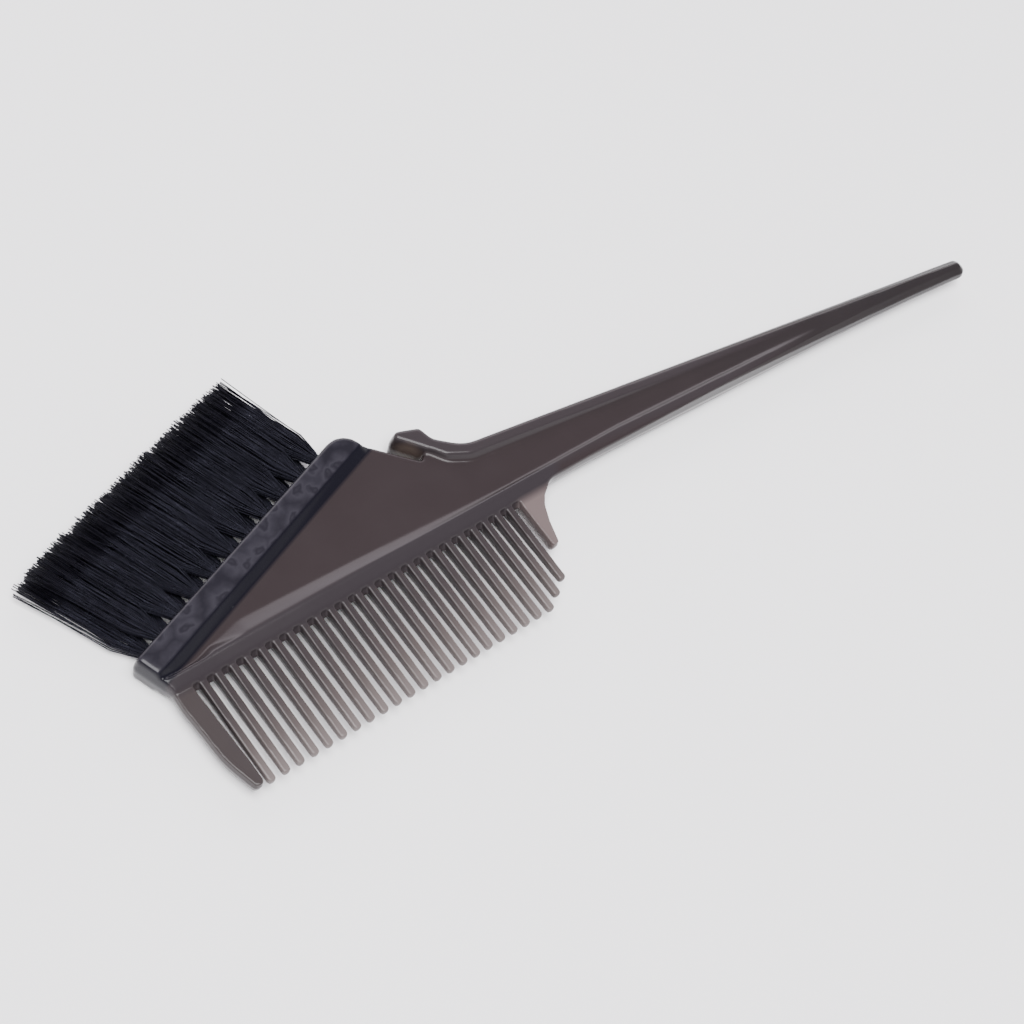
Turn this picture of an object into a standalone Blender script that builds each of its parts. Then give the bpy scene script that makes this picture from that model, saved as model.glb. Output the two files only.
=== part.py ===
"""Tint brush: one moulded body with a hook, a comb and a tapered handle, and two rows of
bristle tufts, each folded round a flat wire anchor at the bottom of its own blind hole.

The brush lies flat: +X runs along the handle to its tail, +Z is up, and the world's origin
is at the bottom centre of the bounding box. The outlines below are drawn in millimetres in
the drawing frame, which is the body's own frame, with its origin near the neck.
"""

import math

import bmesh
import bpy
from mathutils import Matrix, Vector

MM = 0.001

# Overall sizes, in millimetres
DRAWING_CENTRE = (23.31, 10.28)      # the bounding box's centre in the drawing frame
THICKNESS = 6.6                      # head and rims
TAIL_THICKNESS = 4.0
TAPER_START_X = 10.0                 # where the body starts to get thinner
TAIL_X = 132.4
MID_Z = THICKNESS / 2                # height of the parting line
DRAFT = 0.3                          # how far the parting line stands out of the walls' edges
EDGE_ROUND = 0.35
FACE_INSET = 0.8                     # how far the flat faces draw in, for each mm of edge round
FACE_MARGIN = 0.105                  # and how much less than that they draw in everywhere
TAIL_ROUND = 1.2                     # added to the edge round by the time it reaches the tail
TAIL_ROUND_X = (50.0, 110.0)         # where that starts and ends

# Handle
HANDLE_TOP_Y = 15.0                  # its upper edge at x = 0
HANDLE_TOP_FALL = 0.031              # and how fast that falls towards the tail
HANDLE_TAIL_WIDTH = 3.4
HANDLE_NECK_WIDTH = 10.6
HANDLE_TAPER_X = (20.0, 130.0)       # where the width starts and ends its taper
HANDLE_TAPER_POWER = 1.3             # over 1, so the edge is slightly hollow
HANDLE_POINT_STEP = 13.0

# Brush bar
BAR_ANGLE = 24.0
BAR_CORNER = (-75.9, 2.75)           # front left corner
BAR_LENGTH = 59.7
BAR_TOP_WIDTH = 4.15
BAR_SLOPE_WIDTH = 2.25

# Pocket in each side of the body
POCKET_FLOOR_Z = 5.2                 # height of its floor at x = 0
POCKET_RISE = 0.006                  # and its slope towards the tail
POCKET_END_X = 86.0

# Comb
COMB_ANGLE = 4.7
COMB_CORNER = (-72.4, -4.45)         # left end of the spine's outer edge
COMB_EDGE_Z = 5.0
COMB_CREST_Z = 5.9
COMB_BEVEL_WIDTH = 2.45
COMB_BEVEL_LENGTH = 79.0
CREST_WIDTH = 0.15
LIP_SLOPE = 0.8                      # of the narrow lip along the bevel's outer edge
LIP_WIDTH = 0.15
TOOTH_COUNT = 24
TOOTH_PITCH = 2.94
FIRST_TOOTH = 4.95
TOOTH_LENGTH = 20.9
LAST_TOOTH_LENGTHS = (19.2, 17.2)
TOOTH_TOP_WIDTH = 1.4
TOOTH_MID_WIDTH = 1.65
TOOTH_ROOT_THICKNESS = 2.5
TOOTH_TIP_THICKNESS = 1.5
TOOTH_TIP_ROUND = 0.6
TOOTH_ROOT_DEPTH = 1.6               # how far the teeth run into the spine
ROOT_RAMP = 1.0                      # how far the gaps' sloped roots reach

# Tufts
TUFT_PITCH = 5.1
FIRST_TUFT = 3.95
TUFTS_IN_ROW = 10
ROWS = {"lower": (0.0, 2.15, -1), "upper": (0.5, 4.45, 1)}    # stagger, height, up or down
HOLE_RADIUS = 1.25
HOLE_DEPTH = 4.0
TUFT_ROOT_RADIUS = 0.95
TUFT_LENGTH = 23.8                   # free length of the first, from the bar's front
TUFT_SHORTENING = 0.045              # and how much shorter each next one is
FIRST_LEAN = 5.6                     # degrees from square to the bar
LAST_LEAN = 2.4
GAP = 0.3
ANCHOR_SIZE = (1.7, 1.2, 0.3)        # along the bar, along the hole, thickness
ANCHOR_DEPTH = 2.35                  # its middle, from the bar's front

# Modelling
CIRCLE_SIDES = 12
ARC_STEPS = 4
CUT_REACH = 1.0                      # how far a cutter stands out of what it cuts
WEDGE_REACH = 3.0                    # the same, outside the comb's bevel


def clear_scene():
    for old in list(bpy.data.objects):
        bpy.data.objects.remove(old, do_unlink=True)


def new_collection(name):
    made = bpy.data.collections.new(name)
    bpy.context.scene.collection.children.link(made)
    return made


def share_between(value, start, end):
    """How far value is on the way from start to end, from 0 to 1."""
    return min(max((value - start) / (end - start), 0.0), 1.0)


def place(obj, spot=(0.0, 0.0), z=0.0, angle=0.0):
    """Sets an object at a drawing point and height, turned by an angle about +Z."""
    x = spot[0] - DRAWING_CENTRE[0]
    y = spot[1] - DRAWING_CENTRE[1]
    obj.location = Vector((x, y, z)) * MM
    obj.rotation_euler.z = math.radians(angle)
    return obj


def frame_at(corner, angle):
    """A function from (along, inwards) in a frame turned by angle to drawing x, y."""
    c = math.cos(math.radians(angle))
    s = math.sin(math.radians(angle))
    return lambda along, across: (
        corner[0] + along * c - across * s,
        corner[1] + along * s + across * c,
    )


bar_point = frame_at(BAR_CORNER, BAR_ANGLE)       # across is positive towards the bristle tips
comb_point = frame_at(COMB_CORNER, COMB_ANGLE)    # across is positive towards the pocket


def handle_top_y(x):
    return HANDLE_TOP_Y - HANDLE_TOP_FALL * x


def handle_width(x):
    left = 1.0 - share_between(x, *HANDLE_TAPER_X)
    return HANDLE_TAIL_WIDTH + (HANDLE_NECK_WIDTH - HANDLE_TAIL_WIDTH) * left ** HANDLE_TAPER_POWER


def thickness_at(x):
    return THICKNESS + (TAIL_THICKNESS - THICKNESS) * share_between(x, TAPER_START_X, TAIL_X)


def top_z(x):
    return MID_Z + thickness_at(x) / 2


def floor_z(x):
    return POCKET_FLOOR_Z + POCKET_RISE * x


def low_point(x, rise=0.0):
    """A point above the handle's lower edge."""
    return (x, handle_top_y(x) - handle_width(x) + rise)


def high_point(x, drop=0.0):
    """A point below the handle's upper edge."""
    return (x, handle_top_y(x) - drop)


def rounded(corners):
    """A closed outline: each corner is x, y, or x, y, radius for an arc of that radius."""
    outline = []
    count = len(corners)
    for i, corner in enumerate(corners):
        here = Vector(corner[:2])
        if len(corner) == 2:
            outline.append(here)
            continue
        back = (Vector(corners[i - 1][:2]) - here).normalized()
        ahead = (Vector(corners[(i + 1) % count][:2]) - here).normalized()
        half = back.angle(ahead) / 2
        reach = corner[2] / math.tan(half)
        centre = here + (back + ahead).normalized() * (corner[2] / math.sin(half))
        start = here + back * reach - centre
        end = here + ahead * reach - centre
        turn = start.angle_signed(end)
        for step in range(ARC_STEPS + 1):
            spin = Matrix.Rotation(-turn * step / ARC_STEPS, 2)
            outline.append(centre + spin @ start)
    return outline


def inset(outline, distances):
    """The outline moved inwards by a distance at each point; it runs counter-clockwise."""
    moved = []
    count = len(outline)
    for i, here in enumerate(outline):
        a = (here - outline[i - 1]).normalized()
        b = (outline[(i + 1) % count] - here).normalized()
        normal = Vector((-a.y - b.y, a.x + b.x)).normalized()
        stretch = max(normal.dot(Vector((-a.y, a.x))), 0.5)
        moved.append(here + normal * distances[i] / stretch)
    return moved


def new_object(name, mesh, collection):
    made = bpy.data.objects.new(name, mesh)
    collection.objects.link(made)
    return made


def loft_mesh(name, rings):
    """A closed mesh through rings of points in millimetres, all with the same number of points."""
    bm = bmesh.new()
    layers = [[bm.verts.new(Vector(p) * MM) for p in ring] for ring in rings]
    count = len(rings[0])
    for low, high in zip(layers, layers[1:]):
        for i in range(count):
            j = (i + 1) % count
            bm.faces.new((low[i], low[j], high[j], high[i]))
    bm.faces.new(list(reversed(layers[0])))
    bm.faces.new(layers[-1])
    bmesh.ops.recalc_face_normals(bm, faces=bm.faces)
    mesh = bpy.data.meshes.new(name)
    bm.to_mesh(mesh)
    bm.free()
    return mesh


def loft(name, rings, collection):
    """An object in the drawing frame, through rings of drawing points."""
    return place(new_object(name, loft_mesh(name, rings), collection))


def box_mesh(name, size):
    bm = bmesh.new()
    bmesh.ops.create_cube(bm, size=1.0)
    bmesh.ops.scale(bm, vec=Vector(size) * MM, verts=bm.verts)
    mesh = bpy.data.meshes.new(name)
    bm.to_mesh(mesh)
    bm.free()
    return mesh


def rod_mesh(name, radius, length):
    """A closed cylinder along its own Y axis, centred on its origin."""
    bm = bmesh.new()
    bmesh.ops.create_cone(
        bm,
        cap_ends=True,
        segments=CIRCLE_SIDES,
        radius1=radius * MM,
        radius2=radius * MM,
        depth=length * MM,
        matrix=Matrix.Rotation(math.radians(90.0), 4, "X"),
    )
    mesh = bpy.data.meshes.new(name)
    bm.to_mesh(mesh)
    bm.free()
    return mesh


def stacked(name, outline, levels, collection):
    """A solid whose outline is inset by a given distance at each height."""
    rings = []
    for z, distance in levels:
        rings.append([(p.x, p.y, z) for p in inset(outline, [distance] * len(outline))])
    return loft(name, rings, collection)


def as_helper(obj):
    """Marks a Boolean's operand, which isn't a piece of its own."""
    obj.hide_render = True
    obj.display_type = "WIRE"
    return obj


def boolean(obj, operation, operand):
    """operand is an object or a collection of objects."""
    cut = obj.modifiers.new(operation.lower(), "BOOLEAN")
    cut.operation = operation
    cut.solver = "EXACT"
    if isinstance(operand, bpy.types.Collection):
        cut.operand_type = "COLLECTION"
        cut.collection = operand
    else:
        cut.object = operand


def principled(name, colour, roughness, metallic=0.0):
    made = bpy.data.materials.new(name)
    made.use_nodes = True
    shader = made.node_tree.nodes["Principled BSDF"]
    shader.inputs["Base Color"].default_value = (*colour, 1.0)
    shader.inputs["Roughness"].default_value = roughness
    shader.inputs["Metallic"].default_value = metallic
    return made


def body_outline():
    """The edge of its top face, counter-clockwise from the bar's front left corner."""
    count = int((HANDLE_TAPER_X[1] - 25.0) / HANDLE_POINT_STEP) + 1
    handle_low = [low_point(25.0 + HANDLE_POINT_STEP * i) for i in range(count)]
    return rounded(
        [
            (*BAR_CORNER, 0.5),
            (*COMB_CORNER, 0.6),
            comb_point(COMB_BEVEL_LENGTH, 0.0),
            (8.3, 1.75, 1.5),
            (11.3, 3.1, 4.0),
            (19.0, 3.7),
            *handle_low,
            (*low_point(TAIL_X), 1.5),
            (*high_point(TAIL_X), 1.5),
            (*high_point(-1.5), 8.0),
            (-6.6, 18.6, 3.0),
            (-7.6, 21.5, 0.7),
            (-12.1, 22.55, 0.4),
            (-12.95, 21.6, 0.3),
            (-8.3, 17.15, 0.7),
            (-10.1, 15.5, 0.7),
            (-13.6, 18.4, 10.0),
            (-17.6, 21.85),
            (*bar_point(BAR_LENGTH, -4.6), 0.8),
            (*bar_point(BAR_LENGTH, 0.0), 4.0),
        ]
    )


def make_blank(collection):
    """The body's full outline, drafted to the parting line and thinner and rounder to the tail."""
    outline = body_outline()
    rounds = []
    for here in outline:
        share = share_between(here.x, *TAIL_ROUND_X)
        rounds.append(EDGE_ROUND + TAIL_ROUND * share * share * (3 - 2 * share))
    face = inset(outline, [r * FACE_INSET - FACE_MARGIN for r in rounds])
    wall = inset(outline, [-EDGE_ROUND / 2] * len(outline))
    middle = inset(outline, [-EDGE_ROUND / 2 - DRAFT] * len(outline))
    rings = [
        [(p.x, p.y, 0.0) for p in face],
        [(p.x, p.y, r) for p, r in zip(wall, rounds)],
        [(p.x, p.y, MID_Z) for p in middle],
        [(p.x, p.y, THICKNESS - r) for p, r in zip(wall, rounds)],
        [(p.x, p.y, THICKNESS) for p in face],
    ]
    blank = loft("body", rings, collection)
    bm = bmesh.new()
    bm.from_mesh(blank.data)
    bmesh.ops.bisect_plane(
        bm,
        geom=bm.verts[:] + bm.edges[:] + bm.faces[:],
        plane_co=(TAPER_START_X * MM, 0, 0),
        plane_no=(1, 0, 0),
    )
    for vert in bm.verts:
        from_middle = vert.co.z - MID_Z * MM
        vert.co.z = MID_Z * MM + from_middle * thickness_at(vert.co.x / MM) / THICKNESS
    bm.to_mesh(blank.data)
    bm.free()
    return blank


def pocket_edge():
    """The pocket's edge on top of the rims; it runs out through the slot and the left end."""
    return rounded(
        [
            (-77.1, -2.3),
            comb_point(3.0, COMB_BEVEL_WIDTH),
            comb_point(9.0, COMB_BEVEL_WIDTH),
            comb_point(16.0, COMB_BEVEL_WIDTH),
            comb_point(40.0, COMB_BEVEL_WIDTH),
            (*comb_point(80.0, COMB_BEVEL_WIDTH), 8.0),
            (17.0, 5.2, 8.0),
            low_point(30.0, 1.9),
            low_point(56.0, 1.9),
            (*low_point(POCKET_END_X, 1.9), 0.5),
            (*high_point(POCKET_END_X, 2.0), 0.5),
            (*high_point(-1.5, 2.0), 5.0),
            (-6.0, 14.8, 3.0),
            (-8.3, 17.15),
            (-9.8, 17.5),
            (-13.7, 21.0),
            (-16.0, 24.5),
            (-18.4, 23.9),
            (-20.4, 22.85, 1.0),
            bar_point(28.0, -BAR_TOP_WIDTH),
            bar_point(1.4, -BAR_TOP_WIDTH),
        ]
    )


def pocket_floor():
    """The edge of the pocket's floor, corner for corner with its top edge."""
    foot = -BAR_TOP_WIDTH - BAR_SLOPE_WIDTH
    return rounded(
        [
            bar_point(2.9, foot),
            comb_point(4.5, COMB_BEVEL_WIDTH + 0.15),
            comb_point(9.0, COMB_BEVEL_WIDTH + 1.6),
            comb_point(16.0, COMB_BEVEL_WIDTH + 3.3),
            comb_point(40.0, COMB_BEVEL_WIDTH + 2.5),
            (*comb_point(80.0, COMB_BEVEL_WIDTH + 0.5), 8.0),
            (17.0, 5.9, 8.0),
            low_point(30.0, 2.6),
            low_point(56.0, 2.3),
            (*low_point(POCKET_END_X, 2.1), 0.4),
            (*high_point(POCKET_END_X, 2.2), 0.4),
            (*high_point(-1.5, 3.0), 5.0),
            (-5.6, 13.7, 3.0),
            (-8.35, 16.95),
            (-9.85, 17.45),
            (-13.75, 20.95),
            (-15.9, 24.3),
            (-17.2, 22.9),
            (-18.9, 20.95, 1.0),
            bar_point(28.0, foot),
            bar_point(3.6, foot),
        ]
    )


def rim_z(point):
    """The height of the pocket's edge: the spine's crest, rising to the body's top face."""
    c = math.cos(math.radians(COMB_ANGLE))
    s = math.sin(math.radians(COMB_ANGLE))
    across = (point.y - COMB_CORNER[1]) * c - (point.x - COMB_CORNER[0]) * s
    return min(top_z(point.x), COMB_CREST_Z + max(0.0, across - COMB_BEVEL_WIDTH - CREST_WIDTH))


def make_pocket(name, side, collection):
    """side is 1 for the top of the body and -1 for its underside."""
    overrun = 0.04
    rings = [[], [], []]
    for rim, foot in zip(pocket_edge(), pocket_floor()):
        high = rim_z(rim)
        low = floor_z(foot.x)
        over = rim + (rim - foot) * overrun
        rings[0].append((foot.x, foot.y, low))
        rings[1].append((over.x, over.y, high + (high - low) * overrun))
        rings[2].append((over.x, over.y, THICKNESS + CUT_REACH))
    if side < 0:
        rings = [[(x, y, THICKNESS - z) for x, y, z in ring] for ring in rings]
    return as_helper(loft(name, rings, collection))


def bevel_sections():
    """Where the bevel's outer edge is, which way it faces, its height and its width."""
    return [
        (comb_point(-4.0, 0.0), COMB_ANGLE, COMB_EDGE_Z, COMB_BEVEL_WIDTH),
        (comb_point(COMB_BEVEL_LENGTH, 0.0), COMB_ANGLE, COMB_EDGE_Z, COMB_BEVEL_WIDTH),
        ((14.8, 3.4), 3.5, 5.2, 1.8),
        (low_point(30.0), 3.5, 5.5, 1.9),
        (low_point(66.0), 2.5, top_z(66.0) + 0.25, 1.9),
    ]


def make_bevel(name, side, collection):
    """The wedge that is cut off the spine and lower rim, with a steeper lip at its outer edge."""
    rings = []
    for edge, angle, edge_z, width in bevel_sections():
        edge_point = frame_at(edge, angle)
        crest = max(COMB_CREST_Z, edge_z)
        rise = (crest - edge_z) / width
        section = [
            (-WEDGE_REACH, edge_z - WEDGE_REACH * LIP_SLOPE),
            (LIP_WIDTH, edge_z + LIP_WIDTH * rise),
            (width + 2 * CREST_WIDTH, crest + 2 * CREST_WIDTH * rise),
            (width + 2 * CREST_WIDTH, THICKNESS + CUT_REACH),
            (-WEDGE_REACH, THICKNESS + CUT_REACH),
        ]
        ring = [(*edge_point(0.0, across), z) for across, z in section]
        if side < 0:
            ring = [(x, y, THICKNESS - z) for x, y, z in ring]
        rings.append(ring)
    return as_helper(loft(name, rings, collection))


def tooth_ring(across, width_share, thickness):
    """A six-sided section across a tooth, widest at the parting line."""
    half_top = TOOTH_TOP_WIDTH / 2 * width_share
    half_mid = TOOTH_MID_WIDTH / 2 * width_share
    half = thickness / 2
    section = [
        (-half_mid, 0.0),
        (-half_top, -half),
        (half_top, -half),
        (half_mid, 0.0),
        (half_top, half),
        (-half_top, half),
    ]
    return [(along, across, z) for along, z in section]


def tooth_mesh(length):
    """A tooth along its own -Y axis, from its root inside the spine to its rounded tip."""
    tip = TOOTH_TIP_THICKNESS
    rings = [
        tooth_ring(TOOTH_ROOT_DEPTH, 1.0, TOOTH_ROOT_THICKNESS),
        tooth_ring(TOOTH_TIP_ROUND - length, 0.95, tip),
        tooth_ring(TOOTH_TIP_ROUND * 0.35 - length, 0.75, tip * 0.9),
        tooth_ring(-length, 0.35, tip * 0.55),
    ]
    return loft_mesh("tooth", rings)


def make_teeth(collection):
    """The even teeth, which share one mesh, and the last ones, which get shorter."""
    even_count = TOOTH_COUNT - len(LAST_TOOTH_LENGTHS)
    meshes = [tooth_mesh(TOOTH_LENGTH)] * even_count
    meshes += [tooth_mesh(length) for length in LAST_TOOTH_LENGTHS]
    for number, mesh in enumerate(meshes):
        tooth = as_helper(new_object(f"tooth_{number + 1:02d}", mesh, collection))
        spot = comb_point(FIRST_TOOTH + TOOTH_PITCH * number, 0.0)
        place(tooth, spot, MID_Z, COMB_ANGLE)


def make_root_ramp(collection):
    """The ridge that slopes the bottom of every gap down to the parting line."""
    half = TOOTH_ROOT_THICKNESS / 2
    section = [(1.5, half), (-0.2, half), (-0.2 - ROOT_RAMP, 0.0), (-0.2, -half), (1.5, -half)]
    rings = [[(along, across, z) for across, z in section] for along in (2.2, 80.0)]
    ramp = as_helper(new_object("root_ramp", loft_mesh("root_ramp", rings), collection))
    place(ramp, COMB_CORNER, MID_Z, COMB_ANGLE)


def make_guards(collection):
    """The thick, blunt first tooth and the curved, pointed last one."""
    half = TOOTH_ROOT_THICKNESS / 2
    levels = [(MID_Z - half, 0.2), (MID_Z, 0.0), (MID_Z + half, 0.2)]
    first = rounded(
        [
            comb_point(-0.5, 1.5),
            comb_point(-0.7, -3.2),
            comb_point(-0.4, -8.0),
            (*comb_point(-0.1, -14.2), 20.0),
            (*comb_point(1.7, -20.4), 1.0),
            (*comb_point(3.6, -20.9), 0.9),
            (*comb_point(3.6, -16.0), 8.0),
            comb_point(3.3, -8.0),
            comb_point(3.0, 1.5),
        ]
    )
    last = rounded(
        [
            (2.4, 3.0),
            (2.45, 0.6),
            (3.1, -9.4, 0.8),
            (4.8, -9.3, 0.8),
            (5.8, -4.6),
            (6.9, -1.5),
            (8.2, 0.35),
            (10.2, 1.9),
            (11.0, 4.0),
        ]
    )
    as_helper(stacked("guard_first", first, levels, collection))
    as_helper(stacked("guard_last", last, levels, collection))


def tuft_ring(lean, out, rise, half_width, half_height, squareness):
    """A ring round a leaning tuft; squareness 2 is an ellipse, and more is nearer a rectangle."""
    ring = []
    for i in range(CIRCLE_SIDES):
        turn = math.tau * (i + 0.5) / CIRCLE_SIDES
        c = math.cos(turn)
        s = math.sin(turn)
        power = 2.0 / squareness
        along = math.copysign(abs(c) ** power, c) * half_width - lean * out
        up = math.copysign(abs(s) ** power, s) * half_height + rise
        ring.append((along, out, up))
    return ring


def tuft_places():
    for row, (stagger, z, side) in ROWS.items():
        for number in range(TUFTS_IN_ROW):
            yield row, number + 1, FIRST_TUFT + TUFT_PITCH * (number + stagger), z, side


def make_holes(collection):
    """The blind holes along the bar's front, which share one mesh."""
    mesh = rod_mesh("hole", HOLE_RADIUS, HOLE_DEPTH + CUT_REACH)
    for row, number, along, z, _ in tuft_places():
        hole = as_helper(new_object(f"hole_{row}_{number:02d}", mesh, collection))
        place(hole, bar_point(along, (CUT_REACH - HOLE_DEPTH) / 2), z, BAR_ANGLE)


def make_tuft(name, along, z, side, slot_mesh, collection, cutters):
    """A bundle of filaments: round in its hole, and spread into a flat fan at its tips."""
    root = TUFT_ROOT_RADIUS
    fan = TUFT_PITCH / 2 - GAP / 2
    bottom = GAP - HOLE_DEPTH
    number = (along - FIRST_TUFT) / TUFT_PITCH
    lean = math.tan(math.radians(FIRST_LEAN + (LAST_LEAN - FIRST_LEAN) * number / TUFTS_IN_ROW))
    length = TUFT_LENGTH - TUFT_SHORTENING * 2 * number
    rings = [
        tuft_ring(0.0, bottom, 0.0, root * 0.8, root * 0.8, 2),
        tuft_ring(0.0, bottom + 0.4, 0.0, root, root, 2),
        tuft_ring(0.0, 0.3, 0.0, root, root, 2),
        tuft_ring(lean, 3.0, 0.0, fan * 0.95, 0.95, 3),
        tuft_ring(lean, 12.0, 0.05 * side, fan, 1.0, 4),
        tuft_ring(lean, length, 0.1 * side, fan, 1.0, 4),
    ]
    tuft = new_object(name, loft_mesh(name, rings), collection)
    place(tuft, bar_point(along, 0.0), z, BAR_ANGLE)
    slot = as_helper(new_object(name + "_slot", slot_mesh, cutters))
    place(slot, bar_point(along, -ANCHOR_DEPTH), z, BAR_ANGLE)
    boolean(tuft, "DIFFERENCE", slot)
    return tuft


def make_body(parts, cutters):
    comb = new_collection("comb_pieces")
    holes = new_collection("holes")
    body = make_blank(parts)
    boolean(body, "DIFFERENCE", make_pocket("pocket_top", 1, cutters))
    boolean(body, "DIFFERENCE", make_pocket("pocket_bottom", -1, cutters))
    boolean(body, "DIFFERENCE", make_bevel("bevel_top", 1, cutters))
    boolean(body, "DIFFERENCE", make_bevel("bevel_bottom", -1, cutters))
    make_root_ramp(comb)
    make_guards(comb)
    make_teeth(comb)
    boolean(body, "UNION", comb)
    make_holes(holes)
    boolean(body, "DIFFERENCE", holes)
    return body


def make_tufts_and_anchors(parts, cutters):
    """A tuft for every hole, with a slot through it for its anchor and 0.3 mm of room all round."""
    nylon = principled("black_nylon", (0.012, 0.012, 0.016), 0.4)
    wire = principled("anchor_wire", (0.55, 0.55, 0.56), 0.35, 1.0)
    along_size, deep_size, thick_size = ANCHOR_SIZE
    slot_size = (along_size + 1.0, deep_size + 2 * GAP, thick_size + 2 * GAP)
    slot_mesh = box_mesh("anchor_slot", slot_size)
    anchor_mesh = box_mesh("anchor", ANCHOR_SIZE)
    anchor_mesh.materials.append(wire)
    for row, number, along, z, side in tuft_places():
        tuft = make_tuft(f"tuft_{row}_{number:02d}", along, z, side, slot_mesh, parts, cutters)
        tuft.data.materials.append(nylon)
        anchor = new_object(f"anchor_{row}_{number:02d}", anchor_mesh, parts)
        place(anchor, bar_point(along, -ANCHOR_DEPTH), z, BAR_ANGLE)


def main():
    clear_scene()
    parts = new_collection("tint_brush")
    cutters = new_collection("cutters")
    body = make_body(parts, cutters)
    body.data.materials.append(principled("smoky_plastic", (0.11, 0.09, 0.09), 0.25))
    make_tufts_and_anchors(parts, cutters)


main()
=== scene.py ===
"""Looks of the tint brush: smoky plastic body, nylon filaments and wire anchors."""

import math

import bpy
import numpy as np
from mathutils import Matrix, Vector


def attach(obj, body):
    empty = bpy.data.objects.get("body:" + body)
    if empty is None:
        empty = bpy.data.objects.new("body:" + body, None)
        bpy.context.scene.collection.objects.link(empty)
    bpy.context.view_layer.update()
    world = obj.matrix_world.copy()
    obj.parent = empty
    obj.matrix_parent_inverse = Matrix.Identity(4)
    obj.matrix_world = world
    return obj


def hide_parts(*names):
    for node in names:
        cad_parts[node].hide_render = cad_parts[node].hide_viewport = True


MM = 0.001                           # in metres; lengths without it are in millimetres
SEED = 27

# Where the origin that the CAD is drawn from lies in the frame
ORIGIN_X = -23.31
ORIGIN_Y = -10.28

# Camera: where it looks, how far away it is, and how it is turned
LOOK_AT = Vector((ORIGIN_X, ORIGIN_Y, 4.3)) * MM
CAMERA_DISTANCE = 334.5 * MM
CAMERA_RIGHT = Vector((0.4902, -0.8716, 0.0))
CAMERA_UP = Vector((0.7096, 0.3991, 0.5807))
CAMERA_BACK = Vector((-0.5061, -0.2847, 0.8141))
CAMERA_ROLL = math.radians(31.0)
CAMERA_LENS = 64.34
CAMERA_SENSOR = 36.0
CAMERA_CLIP = (0.01, 20.0)           # in metres

# Light
BACKDROP_TOWARDS = (0.45, 0.87, -0.2)    # the middle of the bright side, behind the horizon
BACKDROP_SHARE = (0.50, 0.74)            # where it starts and is full, as the dot product with that
BACKDROP_STRENGTH = 5.0
BACKDROP_COLOUR = (1.0, 0.93, 1.0)
ROOM_COLOUR = (0.052, 0.052, 0.063)      # the rest of the room, on the same scale
HORIZON_COLOUR = (0.38, 0.375, 0.38)     # pale surroundings low down, on the same scale
HORIZON_HEIGHT = (0.25, 0.45)            # where they start to fade and end, as the sine of elevation
KEY_AZIMUTH = 215.0                      # degrees from +X towards +Y
KEY_ELEVATION = 78.0
KEY_DISTANCE = 2.0                       # in metres, like its sides and the floor's
KEY_SIZE = (1.6, 1.6)
KEY_POWER = 116.0
FLOOR_HALF = 0.9
FLOOR_DROP = 0.05 * MM                   # keeps it clear of the underside

# Body: its remeshed copy, and how the edges of that are rounded
REMESH_VOXEL = 0.18 * MM
BODY_FACES = 190000
SMOOTH_STEPS = 20
SMOOTH_PULL = 0.5                    # how far a point moves towards its neighbours' middle
SMOOTH_PUSH = 0.53                   # and back out again on the thin teeth, to keep their width
PUSH_FADE = (-0.6, 0.6)              # across the comb, from the teeth into the spine

# Comb, as in the CAD
COMB_ANGLE = math.radians(4.7)
COMB_CORNER = Vector((-72.4 + ORIGIN_X, -4.45 + ORIGIN_Y))
COMB_END = 84.5                      # along the comb, where its last guard tooth ends
COMB_END_FADE = 2.5
COMB_EDGE = (0.2, -1.6)              # across it, from the spine's painted shade to the teeth's painted light and shade
FIRST_GUARD_END = (4.0, 3.6)         # along it, between the first guard and the first tooth
LAST_GUARD_START = (74.0, 75.5)
SPINE_WIDTH = 2.45
SPINE_FADE = 0.3
TOOTH_LENGTH = 20.9

# Brush bar and tufts, as in the CAD
BAR_ANGLE = math.radians(24.0)
BAR_CORNER = Vector((-75.9 + ORIGIN_X, 2.75 + ORIGIN_Y))
BAR_TOP_WIDTH = 4.15
BAR_FOOT = 6.4                       # out to the foot of the bar's slope
TUFT_PITCH = 5.1
FIRST_TUFT = 3.95
TUFTS_IN_ROW = 10
ROWS = {"lower": (0.0, 2.15, -1), "upper": (0.5, 4.45, 1)}    # stagger, height, side of the middle
TUFT_LENGTH = 23.8
TUFT_SHORTENING = 0.045              # for every half pitch along the bar
FIRST_LEAN = 5.6                     # in degrees, back along the bar
LAST_LEAN = 2.4
ROOT_RADIUS = 0.95

# Where the bar's colours change between its blotched top and the painted shade, in widths of its top
# or in tuft pitches from the first tuft
FOOT_FADE = 0.08                     # on either side of the slope's foot
TOP_EDGE = (-1.06, -0.96)            # across the bar, from the painted shade on its slope onto its top
NEAR_END = (-0.77, -0.71)            # along it, from the painted shade on its end face onto its top

# Web, hook and handle, as in the CAD
MID_Z = 3.3
WEB_HALF = 2.04                      # half the web's thickness at x = 0
WEB_RISE = 0.006                     # and how much thicker it gets towards the tail
RIM_RISE = (0.1, 0.6)                # how far out of the web's face the painted highlight on the rims comes in
HANDLE_FADE = (-5.0, 85.0)           # along X, where the handle darkens towards its tail
HOOK_WALL = Vector((-10.7 + ORIGIN_X, 19.3 + ORIGIN_Y, MID_Z))    # the middle of its inner wall
HOOK_GLOW = (3.3, 1.6)               # how far from there its browner colour starts and is full

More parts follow.
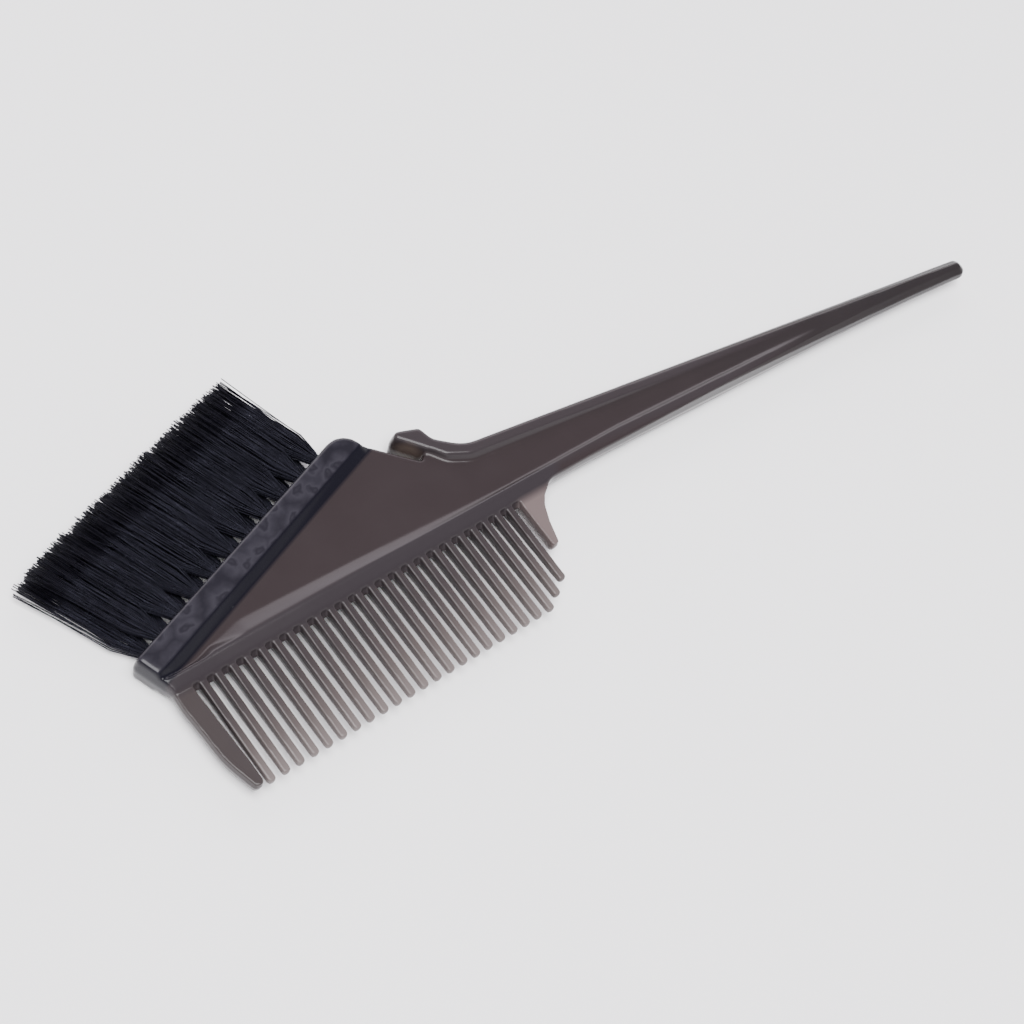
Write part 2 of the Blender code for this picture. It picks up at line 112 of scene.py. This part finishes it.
# Colours of the plastic
WEB_COLOURS = ((0.0235, 0.0178, 0.0187), (0.0280, 0.0212, 0.0223))
TAIL_COLOUR = (0.0180, 0.0150, 0.0156)
# Painted highlight: the raised rims paler than the web, as where light catches them
RIM_HIGHLIGHT_COLOUR = (0.0295, 0.0240, 0.0262)
# Painted shade on the thick spine and its bevel
SPINE_SHADE_COLOUR = (0.0262, 0.0218, 0.0245)
HOOK_COLOUR = (0.0750, 0.0560, 0.0480)
TOOTH_PAINTED_LIGHT_COLOURS = (                    # by the share of a tooth's length, from its root: painted shade at the roots, painted light through the thinner tips
    (0.0, (0.0280, 0.0225, 0.0240)),
    (0.3, (0.0350, 0.0282, 0.0290)),
    (0.5, (0.0480, 0.0385, 0.0390)),
    (0.7, (0.0710, 0.0580, 0.0565)),
    (1.0, (0.1300, 0.1080, 0.1050)),
)
# Painted shade on the thicker first guard, painted light through the last one
FIRST_GUARD_SHADE_COLOUR = (0.0380, 0.0310, 0.0310)
LAST_GUARD_LIGHT_COLOUR = (0.1150, 0.0890, 0.0870)
BAR_TOP_COLOURS = ((0.0120, 0.0108, 0.0150), (0.0270, 0.0248, 0.0318))
# Painted shade on the bar's slope and its near end face
BAR_SHADE_COLOUR = (0.0055, 0.0050, 0.0085)

# Blotches on the bar: how pale they are, by the distance from a cell's middle
RING_LEVELS = ((0.0, 0.5), (0.14, 0.1), (0.26, 0.9), (0.42, 0.55), (0.7, 0.0))
RING_WARP = (0.8, 0.9, 0.0)
RING_RANDOMNESS = 0.8

# Filaments
FILAMENTS = 100
FILAMENT_RADIUS = 0.095
FILAMENT_SIDES = 5
FILAMENT_STATIONS = (-3.3, -1.0, 0.2, 1.4, 3.0, 5.5, 10.0, 16.0, 24.0)
FILAMENT_HEIGHTS = (0.3, 6.5)        # what they are kept between
ROOT_SCATTER = 0.04
FLARE_LENGTH = 5.5                   # where a tuft is as wide as its pitch
FLARE_POWER = 0.85
FLARE_CLEARANCE = 0.1                # left on each side of a tuft's pitch
FLARE_HEIGHT = 1.0
FLARE_SHIFT = 0.1                    # away from the other row
SWAY_POWER = 1.6                     # how late clumps and filaments part
CLUMPS = 9
CLUMP_SWAY = (0.8, 0.45)             # sideways and up
CLUMP_ENDS = (-0.6, 0.3)
END_SPREAD = 0.12
END_LOSS = 0.22
DRIFT = (0.45, 0.12)                 # sideways and up
STRAY_SHARE = 0.04
STRAY_DRIFT = 2.6
STRAY_RISE = (0.2, 1.4)


def bar_point(along, out, z):
    """Places from distances along the bar, out from its front and up, in millimetres."""
    c = math.cos(BAR_ANGLE)
    s = math.sin(BAR_ANGLE)
    return (BAR_CORNER.x + along * c - out * s, BAR_CORNER.y + along * s + out * c, z)


def new_material(name):
    made = bpy.data.materials.new(name)
    made.use_nodes = True
    nodes = made.node_tree.nodes
    return made, nodes, made.node_tree.links, nodes["Principled BSDF"]


def noise(nodes, links, vector, scale, detail):
    made = nodes.new("ShaderNodeTexNoise")
    made.inputs["Scale"].default_value = scale
    made.inputs["Detail"].default_value = detail
    links.new(vector, made.inputs["Vector"])
    return made.outputs["Fac"]


def remap(nodes, links, value, low, high, to_low=0.0, to_high=1.0):
    """Takes low to to_low and high to to_high, and stays between them."""
    made = nodes.new("ShaderNodeMapRange")
    made.inputs["From Min"].default_value = low
    made.inputs["From Max"].default_value = high
    made.inputs["To Min"].default_value = to_low
    made.inputs["To Max"].default_value = to_high
    links.new(value, made.inputs["Value"])
    return made.outputs["Result"]


def varied(nodes, links, value, least, most):
    """Spreads the middle of a noise over a range, for roughness."""
    return remap(nodes, links, value, 0.3, 0.7, least, most)


def object_coordinates(nodes):
    return nodes.new("ShaderNodeTexCoord").outputs["Object"]


def turned_coordinates(nodes, links, corner, angle, size):
    """Object coordinates in the frame of the bar or the comb, in multiples of size."""
    made = nodes.new("ShaderNodeMapping")
    made.vector_type = "TEXTURE"
    made.inputs["Location"].default_value = (corner.x * MM, corner.y * MM, 0.0)
    made.inputs["Rotation"].default_value = (0.0, 0.0, angle)
    made.inputs["Scale"].default_value = (size[0] * MM, size[1] * MM, MM)
    links.new(object_coordinates(nodes), made.inputs["Vector"])
    return made.outputs["Vector"]


def part_of(nodes, links, vector, axis):
    split = nodes.new("ShaderNodeSeparateXYZ")
    links.new(vector, split.inputs["Vector"])
    return split.outputs[axis]


def mixed(nodes, links, factor, first, second):
    """A colour between two; each is a colour or another node's output."""
    made = nodes.new("ShaderNodeMix")
    made.data_type = "RGBA"
    links.new(factor, made.inputs["Factor"])
    for socket, value in ((made.inputs["A"], first), (made.inputs["B"], second)):
        if isinstance(value, tuple):
            socket.default_value = (*value, 1.0)
        else:
            links.new(value, socket)
    return made.outputs["Result"]


def colour_ramp(nodes, links, value, stops, interpolation="LINEAR"):
    """A colour for each value, from rising positions and their colours."""
    made = nodes.new("ShaderNodeValToRGB")
    made.color_ramp.interpolation = interpolation
    elements = made.color_ramp.elements
    while len(elements) < len(stops):
        elements.new(0.5)
    for element, (position, colour) in zip(elements, stops):
        element.position = position
        element.color = (*colour, 1.0)
    links.new(value, made.inputs["Fac"])
    return made.outputs["Color"]


def maths(nodes, links, operation, *values):
    """One step of arithmetic; each value is a number or another node's output."""
    made = nodes.new("ShaderNodeMath")
    made.operation = operation
    for socket, value in zip(made.inputs, values):
        if isinstance(value, float):
            socket.default_value = value
        else:
            links.new(value, socket)
    return made.outputs["Value"]


def above_web(nodes, links, place):
    """How far the surface stands out past the web's faces, on either side, in metres."""
    from_middle = maths(nodes, links, "SUBTRACT", part_of(nodes, links, place, "Z"), MID_Z * MM)
    half = maths(nodes, links, "ABSOLUTE", from_middle)
    web = maths(nodes, links, "MULTIPLY", part_of(nodes, links, place, "X"), WEB_RISE)
    web = maths(nodes, links, "ADD", web, WEB_HALF * MM)
    return maths(nodes, links, "SUBTRACT", half, web)


def web_colour(nodes, links, place):
    """Clouded grey-brown, darker along the handle, and greyer and paler on the raised rims as a
    painted highlight.
    """
    cloud = noise(nodes, links, place, scale=60.0, detail=3.0)
    colour = mixed(nodes, links, cloud, *WEB_COLOURS)
    along = part_of(nodes, links, place, "X")
    to_tail = remap(nodes, links, along, HANDLE_FADE[0] * MM, HANDLE_FADE[1] * MM)
    colour = mixed(nodes, links, to_tail, colour, TAIL_COLOUR)
    rise = above_web(nodes, links, place)
    # painted highlight on the raised rims
    rim_highlight = remap(nodes, links, rise, RIM_RISE[0] * MM, RIM_RISE[1] * MM)
    return mixed(nodes, links, rim_highlight, colour, RIM_HIGHLIGHT_COLOUR)


def comb_painted_light(nodes, links, along, across):
    """Darkest at the teeth's roots and palest at their thin tips, as painted shade and painted light
    showing through; painted shade on the first guard, and the last guard is pale too with painted
    light.
    """
    down = remap(nodes, links, across, 0.0, -TOOTH_LENGTH)
    colour = colour_ramp(nodes, links, down, TOOTH_PAINTED_LIGHT_COLOURS)
    in_first = remap(nodes, links, along, *FIRST_GUARD_END)
    colour = mixed(nodes, links, in_first, colour, FIRST_GUARD_SHADE_COLOUR)
    in_last = remap(nodes, links, along, *LAST_GUARD_START)
    return mixed(nodes, links, in_last, colour, LAST_GUARD_LIGHT_COLOUR)


def with_comb(nodes, links, colour):
    """Lays the spine's painted shade and the comb's painted light and shade over colour, as far as
    the tail.
    """
    comb = turned_coordinates(nodes, links, COMB_CORNER, COMB_ANGLE, (1.0, 1.0))
    along = part_of(nodes, links, comb, "X")
    across = part_of(nodes, links, comb, "Y")
    before_tail = remap(nodes, links, along, COMB_END + COMB_END_FADE, COMB_END)
    # painted shade over the thick spine
    spine_shade = remap(nodes, links, across, SPINE_WIDTH + SPINE_FADE, SPINE_WIDTH)
    spine_shade = maths(nodes, links, "MULTIPLY", spine_shade, before_tail)
    colour = mixed(nodes, links, spine_shade, colour, SPINE_SHADE_COLOUR)
    # painted light and shade over the teeth and guards
    in_comb = remap(nodes, links, across, *COMB_EDGE)
    in_comb = maths(nodes, links, "MULTIPLY", in_comb, before_tail)
    return mixed(nodes, links, in_comb, colour, comb_painted_light(nodes, links, along, across))


def with_hook(nodes, links, place, colour):
    """Makes colour browner where light seems to show through the hook's inner wall."""
    from_wall = nodes.new("ShaderNodeVectorMath")
    from_wall.operation = "DISTANCE"
    from_wall.inputs[1].default_value = HOOK_WALL * MM
    links.new(place, from_wall.inputs[0])
    distance = from_wall.outputs["Value"]
    near = remap(nodes, links, distance, HOOK_GLOW[0] * MM, HOOK_GLOW[1] * MM)
    return mixed(nodes, links, near, colour, HOOK_COLOUR)


def tuft_rings(nodes, links, vector):
    """Pale rings and blotches over the bar's top, where the tufts' holes end under it."""
    warp = nodes.new("ShaderNodeTexNoise")
    warp.inputs["Scale"].default_value = 1.6
    links.new(vector, warp.inputs["Vector"])
    shift = nodes.new("ShaderNodeVectorMath")
    shift.operation = "MULTIPLY_ADD"
    shift.inputs[1].default_value = RING_WARP
    links.new(warp.outputs["Color"], shift.inputs[0])
    links.new(vector, shift.inputs[2])
    cells = nodes.new("ShaderNodeTexVoronoi")
    cells.voronoi_dimensions = "2D"
    cells.inputs["Scale"].default_value = 1.0
    cells.inputs["Randomness"].default_value = RING_RANDOMNESS
    links.new(shift.outputs["Vector"], cells.inputs["Vector"])
    stops = [(position, (level, level, level)) for position, level in RING_LEVELS]
    return colour_ramp(nodes, links, cells.outputs["Distance"], stops)


def with_bar(nodes, links, colour):
    """Lays the bar's bluish black over colour: blotched on top, with plain painted shade on its
    slope and near end.
    """
    start = Vector(bar_point(FIRST_TUFT, 0.0, 0.0)[:2])
    bar = turned_coordinates(nodes, links, start, BAR_ANGLE, (TUFT_PITCH, BAR_TOP_WIDTH))
    along = part_of(nodes, links, bar, "X")
    across = part_of(nodes, links, bar, "Y")
    foot = -BAR_FOOT / BAR_TOP_WIDTH
    in_bar = remap(nodes, links, across, foot - FOOT_FADE, foot + FOOT_FADE)
    on_top = remap(nodes, links, across, *TOP_EDGE)
    off_end = remap(nodes, links, along, *NEAR_END)
    on_top = maths(nodes, links, "MULTIPLY", on_top, off_end)
    top = mixed(nodes, links, tuft_rings(nodes, links, bar), *BAR_TOP_COLOURS)
    # painted shade on the slope and the near end face
    bar_with_shade = mixed(nodes, links, on_top, BAR_SHADE_COLOUR, top)
    return mixed(nodes, links, in_bar, colour, bar_with_shade)


def smoky_plastic():
    """Smooth grey-brown plastic that lets a little light through."""
    made, nodes, links, shader = new_material("smoky_plastic_look")
    place = object_coordinates(nodes)
    colour = web_colour(nodes, links, place)
    colour = with_comb(nodes, links, colour)
    colour = with_hook(nodes, links, place, colour)
    colour = with_bar(nodes, links, colour)
    links.new(colour, shader.inputs["Base Color"])
    shader.inputs["Transmission Weight"].default_value = 0.05
    shader.inputs["Specular IOR Level"].default_value = 0.2
    shader.inputs["IOR"].default_value = 1.49
    gloss = noise(nodes, links, place, scale=120.0, detail=4.0)
    links.new(varied(nodes, links, gloss, 0.15, 0.22), shader.inputs["Roughness"])
    bump = nodes.new("ShaderNodeBump")
    bump.inputs["Strength"].default_value = 0.03
    bump.inputs["Distance"].default_value = 0.2 * MM
    links.new(noise(nodes, links, place, scale=300.0, detail=3.0), bump.inputs["Height"])
    links.new(bump.outputs["Normal"], shader.inputs["Normal"])
    absorb = nodes.new("ShaderNodeVolumeAbsorption")
    absorb.inputs["Color"].default_value = (0.30, 0.25, 0.25, 1.0)
    absorb.inputs["Density"].default_value = 1500.0
    links.new(absorb.outputs["Volume"], nodes["Material Output"].inputs["Volume"])
    return made


def black_nylon():
    """Black filaments with a cool sheen, a little greyer on some than on others."""
    made, nodes, links, shader = new_material("black_nylon_look")
    place = object_coordinates(nodes)
    shade = noise(nodes, links, place, scale=900.0, detail=2.0)
    stops = ((0.35, (0.0010, 0.0009, 0.0015)), (0.75, (0.0040, 0.0038, 0.0060)))
    links.new(colour_ramp(nodes, links, shade, stops), shader.inputs["Base Color"])
    streak = noise(nodes, links, place, scale=500.0, detail=3.0)
    links.new(varied(nodes, links, streak, 0.24, 0.42), shader.inputs["Roughness"])
    shader.inputs["Specular IOR Level"].default_value = 0.14
    shader.inputs["Specular Tint"].default_value = (0.72, 0.72, 1.0, 1.0)
    return made


def anchor_wire():
    """Drawn wire, brighter and smoother in places."""
    made, nodes, links, shader = new_material("anchor_wire_look")
    place = object_coordinates(nodes)
    shader.inputs["Metallic"].default_value = 1.0
    shade = noise(nodes, links, place, scale=1500.0, detail=4.0)
    stops = ((0.0, (0.38, 0.38, 0.39)), (1.0, (0.6, 0.6, 0.62)))
    links.new(colour_ramp(nodes, links, shade, stops), shader.inputs["Base Color"])
    drawn = noise(nodes, links, place, scale=2500.0, detail=2.0)
    links.new(varied(nodes, links, drawn, 0.28, 0.45), shader.inputs["Roughness"])
    return made


def white_floor():
    """Plain white card, with a trace of unevenness."""
    made, nodes, links, shader = new_material("floor_look")
    shade = noise(nodes, links, object_coordinates(nodes), scale=30.0, detail=2.0)
    stops = ((0.0, (0.9, 0.885, 0.9)), (1.0, (0.92, 0.91, 0.92)))
    links.new(colour_ramp(nodes, links, shade, stops), shader.inputs["Base Color"])
    shader.inputs["Roughness"].default_value = 0.9
    shader.inputs["Specular IOR Level"].default_value = 0.1
    return made


def evaluated_mesh(made):
    """The object's mesh after its modifiers, which are then removed."""
    depsgraph = bpy.context.evaluated_depsgraph_get()
    mesh = bpy.data.meshes.new_from_object(made.evaluated_get(depsgraph))
    made.modifiers.clear()
    made.data = mesh
    return mesh


def fade(value, start, end):
    """0 before start and 1 after end, with a smooth change between them."""
    share = np.clip((value - start) / (end - start), 0.0, 1.0)
    return share * share * (3 - 2 * share)


def soften(mesh):
    """Rounds the edges, and keeps the thin teeth as wide as they are."""
    points = np.empty(len(mesh.vertices) * 3)
    mesh.vertices.foreach_get("co", points)
    points = points.reshape(-1, 3)
    ends = np.empty(len(mesh.edges) * 2, dtype=np.int64)
    mesh.edges.foreach_get("vertices", ends)
    a, b = ends.reshape(-1, 2).T
    count = len(points)
    neighbours = np.bincount(a, minlength=count) + np.bincount(b, minlength=count)

    def pull(share):
        for axis in range(3):
            values = points[:, axis]
            total = np.bincount(a, values[b], count) + np.bincount(b, values[a], count)
            values += share * (total / neighbours - values)

    c = math.cos(COMB_ANGLE)
    s = math.sin(COMB_ANGLE)
    across = (points[:, 1] / MM - COMB_CORNER.y) * c - (points[:, 0] / MM - COMB_CORNER.x) * s
    teeth = 1.0 - fade(across, *PUSH_FADE)
    for _ in range(SMOOTH_STEPS):
        pull(SMOOTH_PULL)
        pull(-SMOOTH_PUSH * teeth)
    mesh.vertices.foreach_set("co", points.ravel())
    mesh.update()


def make_body(node, look):
    """The CAD body with its edges and inner corners softened as on a moulding."""
    made = bpy.data.objects.new("brush_body", node.data.copy())
    made.data.transform(Matrix.Rotation(-COMB_ANGLE, 4, "Z"))    # the voxels lie along the teeth
    bpy.context.scene.collection.objects.link(made)
    made.matrix_world = node.matrix_world.copy()
    voxel = made.modifiers.new("voxel", "REMESH")
    voxel.mode = "VOXEL"
    voxel.voxel_size = REMESH_VOXEL
    mesh = evaluated_mesh(made)
    mesh.transform(Matrix.Rotation(COMB_ANGLE, 4, "Z"))
    soften(mesh)
    triangles = sum(len(p.vertices) - 2 for p in mesh.polygons)
    thin = made.modifiers.new("thin", "DECIMATE")
    thin.ratio = min(1.0, BODY_FACES / triangles)
    mesh = evaluated_mesh(made)
    mesh.name = "brush_body"
    mesh.shade_smooth()
    mesh.materials.clear()
    mesh.materials.append(look)
    return made


def disc_points(rng, count):
    """Evenly scattered points in the unit disc."""
    index = np.arange(count) + 0.5
    radius = np.sqrt(index / count)
    turn = index * math.pi * (1 + math.sqrt(5)) + rng.uniform(0, math.tau)
    scatter = rng.normal(0, ROOT_SCATTER, (2, count))
    return radius * np.cos(turn) + scatter[0], radius * np.sin(turn) + scatter[1]


def square_from_disc(a, b):
    """Spreads points from the unit disc over the unit square."""
    reach = np.maximum(np.abs(a), np.abs(b))
    length = np.hypot(a, b)
    stretch = length / np.maximum(reach, 1e-6)
    return a * stretch, b * stretch


def filament_paths(rng, along, z, side):
    """Points in bar coordinates (along, out, up) for every filament of a tuft, in millimetres."""
    a, b = disc_points(rng, FILAMENTS)
    fan_a, fan_b = square_from_disc(a, b)
    place = (along - FIRST_TUFT) / TUFT_PITCH
    lean = math.tan(math.radians(FIRST_LEAN + (LAST_LEAN - FIRST_LEAN) * place / TUFTS_IN_ROW))
    length = TUFT_LENGTH - TUFT_SHORTENING * 2 * place
    clump = rng.integers(0, CLUMPS, FILAMENTS)
    clump_a = rng.uniform(-CLUMP_SWAY[0], CLUMP_SWAY[0], CLUMPS)[clump]
    clump_b = rng.uniform(-CLUMP_SWAY[1], CLUMP_SWAY[1], CLUMPS)[clump]
    ends = length + rng.uniform(*CLUMP_ENDS, CLUMPS)[clump]
    ends = ends + rng.normal(0, END_SPREAD, FILAMENTS)
    ends = ends - np.abs(rng.normal(0, END_LOSS, FILAMENTS))
    drift_a = rng.normal(0, DRIFT[0], FILAMENTS)
    drift_b = rng.normal(0, DRIFT[1], FILAMENTS)
    strays = rng.random(FILAMENTS) < STRAY_SHARE
    drift_a = np.where(strays, rng.normal(0, STRAY_DRIFT, FILAMENTS), drift_a)
    drift_b = np.where(strays, side * rng.uniform(*STRAY_RISE, FILAMENTS), drift_b)
    far_a = (TUFT_PITCH / 2 - FLARE_CLEARANCE) * fan_a
    far_b = FLARE_HEIGHT * fan_b + FLARE_SHIFT * side
    paths = np.zeros((FILAMENTS, len(FILAMENT_STATIONS), 3))
    for i, station in enumerate(FILAMENT_STATIONS):
        share = max(station / FILAMENT_STATIONS[-1], 0.0)
        out = share * ends if station > 0 else station
        flare = min(max(station / FLARE_LENGTH, 0.0), 1.0) ** FLARE_POWER
        late = share ** SWAY_POWER
        paths[:, i, 0] = along + ROOT_RADIUS * a * (1 - flare) + far_a * flare - lean * out
        paths[:, i, 0] += late * (clump_a + drift_a)
        paths[:, i, 1] = out
        paths[:, i, 2] = z + ROOT_RADIUS * b * (1 - flare) + far_b * flare
        paths[:, i, 2] += late * (clump_b + drift_b)
    paths[:, :, 2] = np.clip(paths[:, :, 2], *FILAMENT_HEIGHTS)
    return paths


def tube_mesh(name, paths, radius):
    """One mesh of closed tubes along the paths."""
    count, stations, _ = paths.shape
    points = np.stack(bar_point(paths[..., 0], paths[..., 1], paths[..., 2]), axis=-1)
    ahead = np.gradient(points, axis=1)
    ahead /= np.linalg.norm(ahead, axis=2, keepdims=True)
    up = np.array((0.0, 0.0, 1.0))
    side = np.cross(ahead, up)
    side /= np.linalg.norm(side, axis=2, keepdims=True)
    bar_with_shade = np.cross(side, ahead)
    turns = np.arange(FILAMENT_SIDES) * math.tau / FILAMENT_SIDES
    ring = side[:, :, None] * np.cos(turns)[:, None] + bar_with_shade[:, :, None] * np.sin(turns)[:, None]
    verts = (points[:, :, None] + ring * radius) * MM
    index = np.arange(count * stations * FILAMENT_SIDES).reshape(count, stations, FILAMENT_SIDES)
    near = index[:, :-1]
    far = index[:, 1:]
    walls = np.stack(
        [near, np.roll(near, -1, axis=2), np.roll(far, -1, axis=2), far], axis=-1
    ).reshape(-1, 4)
    faces = [tuple(f) for f in walls.tolist()]
    faces += [tuple(reversed(f)) for f in index[:, 0].tolist()]
    faces += [tuple(f) for f in index[:, -1].tolist()]
    mesh = bpy.data.meshes.new(name)
    mesh.from_pydata(verts.reshape(-1, 3).tolist(), [], faces)
    mesh.validate()
    mesh.shade_smooth()
    return mesh


def make_tufts(look):
    """A bundle of filaments for each CAD tuft, with its own seed."""
    for r, (row, (stagger, z, side)) in enumerate(ROWS.items()):
        for number in range(TUFTS_IN_ROW):
            rng = np.random.default_rng(SEED + 100 * r + number)
            along = FIRST_TUFT + TUFT_PITCH * (number + stagger)
            name = f"bristles_{row}_{number + 1:02d}"
            mesh = tube_mesh(name, filament_paths(rng, along, z, side), FILAMENT_RADIUS)
            mesh.materials.append(look)
            tuft = bpy.data.objects.new(name, mesh)
            bpy.context.scene.collection.objects.link(tuft)
            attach(tuft, "root")
            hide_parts(f"tuft_{row}_{number + 1:02d}")


def make_floor(look):
    mesh = bpy.data.meshes.new("floor")
    signs = ((-1, -1), (1, -1), (1, 1), (-1, 1))
    corners = [(x * FLOOR_HALF, y * FLOOR_HALF, 0) for x, y in signs]
    mesh.from_pydata(corners, [], [(0, 1, 2, 3)])
    mesh.materials.append(look)
    floor = bpy.data.objects.new("floor", mesh)
    floor.location.z = -FLOOR_DROP
    bpy.context.scene.collection.objects.link(floor)


def around(azimuth, elevation, distance):
    """A place at that many degrees from +X and above the floor."""
    a = math.radians(azimuth)
    e = math.radians(elevation)
    return Vector((math.cos(a) * math.cos(e), math.sin(a) * math.cos(e), math.sin(e))) * distance


def make_key_light():
    """One large soft light, nearly overhead, turned to the brush."""
    data = bpy.data.lights.new("key", "AREA")
    data.shape = "RECTANGLE"
    data.size = KEY_SIZE[0]
    data.size_y = KEY_SIZE[1]
    data.energy = KEY_POWER
    light = bpy.data.objects.new("key", data)
    light.location = around(KEY_AZIMUTH, KEY_ELEVATION, KEY_DISTANCE)
    light.rotation_mode = "QUATERNION"
    light.rotation_quaternion = (-light.location).to_track_quat("-Z", "Y")
    bpy.context.scene.collection.objects.link(light)


def make_world():
    """A dim room, pale low down all round, with one soft bright side as a white backdrop gives."""
    world = bpy.data.worlds.new("studio")
    world.use_nodes = True
    nodes = world.node_tree.nodes
    links = world.node_tree.links
    place = nodes.new("ShaderNodeTexCoord").outputs["Generated"]
    towards = nodes.new("ShaderNodeVectorMath")
    towards.operation = "DOT_PRODUCT"
    towards.inputs[1].default_value = BACKDROP_TOWARDS
    links.new(place, towards.inputs[0])
    stops = ((BACKDROP_SHARE[0], ROOM_COLOUR), (BACKDROP_SHARE[1], BACKDROP_COLOUR))
    room = colour_ramp(nodes, links, towards.outputs["Value"], stops, "EASE")
    height = part_of(nodes, links, place, "Z")
    low_down = remap(nodes, links, height, HORIZON_HEIGHT[1], HORIZON_HEIGHT[0])
    background = nodes["Background"]
    links.new(mixed(nodes, links, low_down, room, HORIZON_COLOUR), background.inputs["Color"])
    background.inputs["Strength"].default_value = BACKDROP_STRENGTH
    bpy.context.scene.world = world


def make_camera():
    data = bpy.data.cameras.new("camera")
    data.sensor_width = CAMERA_SENSOR
    data.lens = CAMERA_LENS
    data.clip_start, data.clip_end = CAMERA_CLIP
    camera = bpy.data.objects.new("camera", data)
    across = math.cos(CAMERA_ROLL) * CAMERA_RIGHT + math.sin(CAMERA_ROLL) * CAMERA_UP
    upward = -math.sin(CAMERA_ROLL) * CAMERA_RIGHT + math.cos(CAMERA_ROLL) * CAMERA_UP
    pose = Matrix((across, upward, CAMERA_BACK)).transposed().to_4x4()
    pose.translation = LOOK_AT + CAMERA_BACK * CAMERA_DISTANCE
    camera.matrix_world = pose
    bpy.context.scene.collection.objects.link(camera)
    bpy.context.scene.camera = camera


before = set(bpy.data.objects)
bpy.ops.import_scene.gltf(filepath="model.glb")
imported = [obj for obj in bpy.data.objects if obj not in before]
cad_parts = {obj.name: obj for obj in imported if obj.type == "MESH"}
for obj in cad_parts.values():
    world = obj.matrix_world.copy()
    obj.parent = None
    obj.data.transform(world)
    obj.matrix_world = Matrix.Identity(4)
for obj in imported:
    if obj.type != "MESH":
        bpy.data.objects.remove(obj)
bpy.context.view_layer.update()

make_camera()
make_world()
make_key_light()
make_floor(white_floor())

body = make_body(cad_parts["body"], smoky_plastic())
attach(body, "root")
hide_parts("body")

make_tufts(black_nylon())

wire = anchor_wire()
for name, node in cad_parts.items():
    if name.startswith("anchor"):
        for slot in node.material_slots:
            slot.material = wire
